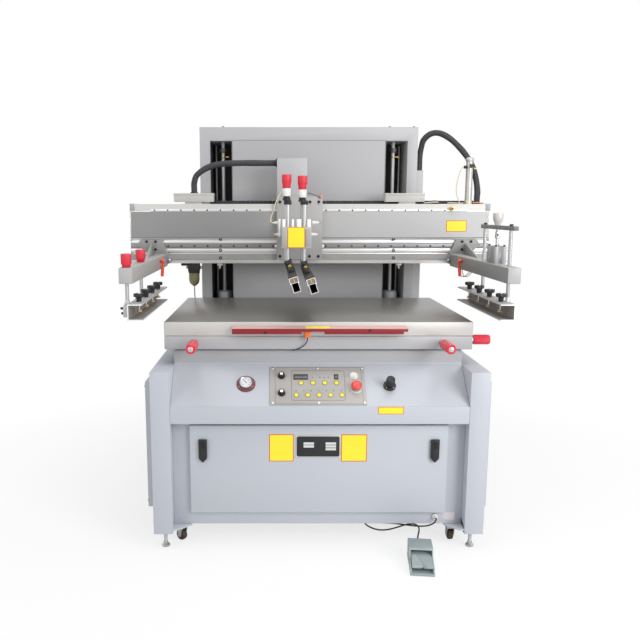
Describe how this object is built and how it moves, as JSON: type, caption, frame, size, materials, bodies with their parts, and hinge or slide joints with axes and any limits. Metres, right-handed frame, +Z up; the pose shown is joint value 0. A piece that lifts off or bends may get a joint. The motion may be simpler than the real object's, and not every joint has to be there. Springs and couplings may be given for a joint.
{
  "type": "flatbed screen printing machine",
  "caption": "Flatbed screen printing machine with a lifting head on a rear column, a squeegee carriage, screen clamp arms, an adjustable table and a foot pedal.",
  "frame": {"origin": "centre of the machine's footprint on the floor, X across the front to the operator's right, Y towards the column, Z up", "axes": "+X along the head beam, +Y from the operator to the column, +Z up"},
  "size_m": [1.74, 1.67, 1.715],
  "materials": {
    "grey_enamel": "satin light grey enamel",
    "bare_aluminium": "brushed",
    "polished_steel": "ground and polished",
    "black_plastic": "matt",
    "hose_rubber": "ribbed, matt",
    "wheel_tread": "matt dark brown",
    "red_plastic": "gloss",
    "red_enamel": "satin red",
    "orange_plastic": "satin",
    "cast_steel": "machined",
    "bronze_cup": "smoky olive bowl",
    "ivory_plastic": "gloss",
    "white_plastic": "gloss",
    "pedal_enamel": "grey-green enamel on a casting"
  },
  "bodies": {
    "base": {"frame_left": "grey_enamel", "frame_right": "grey_enamel", "cabinet": "grey_enamel", "cabinet_door": "grey_enamel", "latch_left": "black_plastic", "latch_right": "black_plastic", "console_housing": "grey_enamel", "control_panel": "bare_aluminium", "pressure_gauge": "polished_steel", "regulator_body": "grey_enamel", "column_housing": "grey_enamel", "guide_rod_left": "polished_steel", "guide_rod_right": "polished_steel", "pedal_base": "pedal_enamel", "lead_gland": "white_plastic", "pedal_lead": "hose_rubber", "column_hose": "hose_rubber"},
    "head": {"beam": "bare_aluminium", "linear_rail": "polished_steel", "lift_block_left": "cast_steel", "lift_block_right": "cast_steel", "hose_box_left": "grey_enamel", "hose_box_right": "grey_enamel", "air_ram": "bare_aluminium", "air_filter": "bronze_cup", "beam_hose": "hose_rubber"},
    "carriage": {"carriage_plate": "grey_enamel", "riser_box": "grey_enamel", "cantilever": "grey_enamel", "lift_case": "grey_enamel"},
    "flood_lift": {"flood_lift": "polished_steel"},
    "squeegee_lift": {"squeegee_lift": "polished_steel"},
    "flood_bar": {"flood_bar": "bare_aluminium"},
    "squeegee": {"squeegee": "bare_aluminium"},
    "arm_left": {"arm_left": "grey_enamel"},
    "arm_right": {"arm_right": "grey_enamel"},
    "clamp_left": {"clamp_left": "grey_enamel"},
    "clamp_right": {"clamp_right": "grey_enamel"},
    "lever_left": {"lever_left": "orange_plastic"},
    "lever_right": {"lever_right": "orange_plastic"},
    "tray": {"table_tray": "grey_enamel"},
    "bed": {"table_top": "bare_aluminium", "safety_bar": "red_enamel"},
    "adjuster_left": {"adjuster_left": "red_plastic"},
    "adjuster_right": {"adjuster_right": "red_plastic"},
    "adjuster_side": {"adjuster_side": "red_plastic"},
    "e_stop": {"e_stop_button": "red_plastic"},
    "start_button": {"start_button": "ivory_plastic"},
    "timer_dial_upper": {"timer_dial_upper": "black_plastic"},
    "timer_dial_lower": {"timer_dial_lower": "black_plastic"},
    "regulator_knob": {"regulator_knob": "black_plastic"},
    "pedal_treadle": {"pedal_treadle": "pedal_enamel"},
    "caster_front_left": {"caster_fork_front_left": "polished_steel"},
    "wheel_front_left": {"caster_wheel_front_left": "wheel_tread"},
    "caster_front_right": {"caster_fork_front_right": "polished_steel"},
    "wheel_front_right": {"caster_wheel_front_right": "wheel_tread"},
    "caster_rear_left": {"caster_fork_rear_left": "polished_steel"},
    "wheel_rear_left": {"caster_wheel_rear_left": "wheel_tread"},
    "caster_rear_right": {"caster_fork_rear_right": "polished_steel"},
    "wheel_rear_right": {"caster_wheel_rear_right": "wheel_tread"}
  },
  "joints": [
    {"name": "head_lift", "type": "slide", "parent": "base", "child": "head", "axis": [0, 0, 1], "range_m": [0, 0.25], "deforming": ["column_hose"]},
    {"name": "carriage_travel", "type": "slide", "parent": "head", "child": "carriage", "axis": [1, 0, 0], "range_m": [-0.3, 0.37], "deforming": ["beam_hose"]},
    {"name": "flood_stroke", "type": "slide", "parent": "carriage", "child": "flood_lift", "axis": [0, 0, 1], "range_m": [-0.05, 0.04]},
    {"name": "squeegee_stroke", "type": "slide", "parent": "carriage", "child": "squeegee_lift", "axis": [0, 0, 1], "range_m": [-0.05, 0.04]},
    {"name": "flood_tilt", "type": "hinge", "parent": "flood_lift", "child": "flood_bar", "pos_m": [-0.11, -0.286, 1.084], "axis": [0, 1, 0], "range_deg": [-3, 12]},
    {"name": "squeegee_tilt", "type": "hinge", "parent": "squeegee_lift", "child": "squeegee", "pos_m": [-0.046, -0.286, 1.08], "axis": [0, 1, 0], "range_deg": [-12, 3]},
    {"name": "arm_left_slide", "type": "slide", "parent": "head", "child": "arm_left", "axis": [1, 0, 0], "range_m": [-0.02, 0.1]},
    {"name": "arm_right_slide", "type": "slide", "parent": "head", "child": "arm_right", "axis": [1, 0, 0], "range_m": [-0.1, 0.02]},
    {"name": "clamp_left_height", "type": "slide", "parent": "arm_left", "child": "clamp_left", "axis": [0, 0, 1], "range_m": [-0.015, 0.02]},
    {"name": "clamp_right_peel", "type": "slide", "parent": "arm_right", "child": "clamp_right", "axis": [0, 0, 1], "range_m": [-0.015, 0.03]},
    {"name": "lever_left_turn", "type": "hinge", "parent": "arm_left", "child": "lever_left", "pos_m": [-0.6877, 0.05, 1.08], "axis": [1, 0, 0], "range_deg": [-50, 50]},
    {"name": "lever_right_turn", "type": "hinge", "parent": "arm_right", "child": "lever_right", "pos_m": [0.6777, 0.05, 1.08], "axis": [1, 0, 0], "range_deg": [-50, 50]},
    {"name": "tray_shift", "type": "slide", "parent": "base", "child": "tray", "axis": [0, 1, 0], "range_m": [-0.01, 0.01]},
    {"name": "table_shift", "type": "slide", "parent": "tray", "child": "bed", "axis": [1, 0, 0], "range_m": [-0.01, 0.01]},
    {"name": "adjuster_left_turn", "type": "hinge", "parent": "tray", "child": "adjuster_left", "pos_m": [-0.482, -0.4878, 0.799], "axis": [0, -1, 0], "continuous": true},
    {"name": "adjuster_right_turn", "type": "hinge", "parent": "tray", "child": "adjuster_right", "pos_m": [0.4835, -0.4878, 0.799], "axis": [0, -1, 0], "continuous": true},
    {"name": "adjuster_side_turn", "type": "hinge", "parent": "tray", "child": "adjuster_side", "pos_m": [0.6003, -0.42, 0.8], "axis": [1, 0, 0], "continuous": true},
    {"name": "e_stop_press", "type": "slide", "parent": "base", "child": "e_stop", "axis": [0, -0.681, 0.7322], "range_m": [-0.006, 0]},
    {"name": "start_press", "type": "slide", "parent": "base", "child": "start_button", "axis": [0, -0.681, 0.7322], "range_m": [-0.003, 0], "stiffness_N_per_m": 200, "springref_m": 0.003},
    {"name": "timer_upper_turn", "type": "hinge", "parent": "base", "child": "timer_dial_upper", "pos_m": [-0.144, -0.51358, 0.67032], "axis": [0, -0.681, 0.7322], "range_deg": [-150, 150]},
    {"name": "timer_lower_turn", "type": "hinge", "parent": "base", "child": "timer_dial_lower", "pos_m": [-0.144, -0.57187, 0.61611], "axis": [0, -0.681, 0.7322], "range_deg": [-150, 150]},
    {"name": "regulator_turn", "type": "hinge", "parent": "base", "child": "regulator_knob", "pos_m": [0.272, -0.54617, 0.64002], "axis": [0, -0.681, 0.7322], "range_deg": [-170, 170]},
    {"name": "treadle_press", "type": "hinge", "parent": "base", "child": "pedal_treadle", "pos_m": [0.37976, -0.69994, 0.048], "axis": [0.9945, -0.1045, 0], "range_deg": [0, 5], "stiffness_Nm_per_rad": 1.2, "springref_deg": -20.05},
    {"name": "caster_swivel_front_left", "type": "hinge", "parent": "base", "child": "caster_front_left", "pos_m": [-0.534, -0.535, 0.0794], "axis": [0, 0, 1], "continuous": true},
    {"name": "caster_roll_front_left", "type": "hinge", "parent": "caster_front_left", "child": "wheel_front_left", "pos_m": [-0.54319, -0.52729, 0.026], "axis": [0.6428, 0.766, 0], "continuous": true},
    {"name": "caster_swivel_front_right", "type": "hinge", "parent": "base", "child": "caster_front_right", "pos_m": [0.534, -0.535, 0.0794], "axis": [0, 0, 1], "continuous": true},
    {"name": "caster_roll_front_right", "type": "hinge", "parent": "caster_front_right", "child": "wheel_front_right", "pos_m": [0.534, -0.523, 0.026], "axis": [1, 0, 0], "continuous": true},
    {"name": "caster_swivel_rear_left", "type": "hinge", "parent": "base", "child": "caster_rear_left", "pos_m": [-0.534, 0.75, 0.0794], "axis": [0, 0, 1], "continuous": true},
    {"name": "caster_roll_rear_left", "type": "hinge", "parent": "caster_rear_left", "child": "wheel_rear_left", "pos_m": [-0.534, 0.762, 0.026], "axis": [1, 0, 0], "continuous": true},
    {"name": "caster_swivel_rear_right", "type": "hinge", "parent": "base", "child": "caster_rear_right", "pos_m": [0.534, 0.75, 0.0794], "axis": [0, 0, 1], "continuous": true},
    {"name": "caster_roll_rear_right", "type": "hinge", "parent": "caster_rear_right", "child": "wheel_rear_right", "pos_m": [0.534, 0.762, 0.026], "axis": [1, 0, 0], "continuous": true}
  ]
}
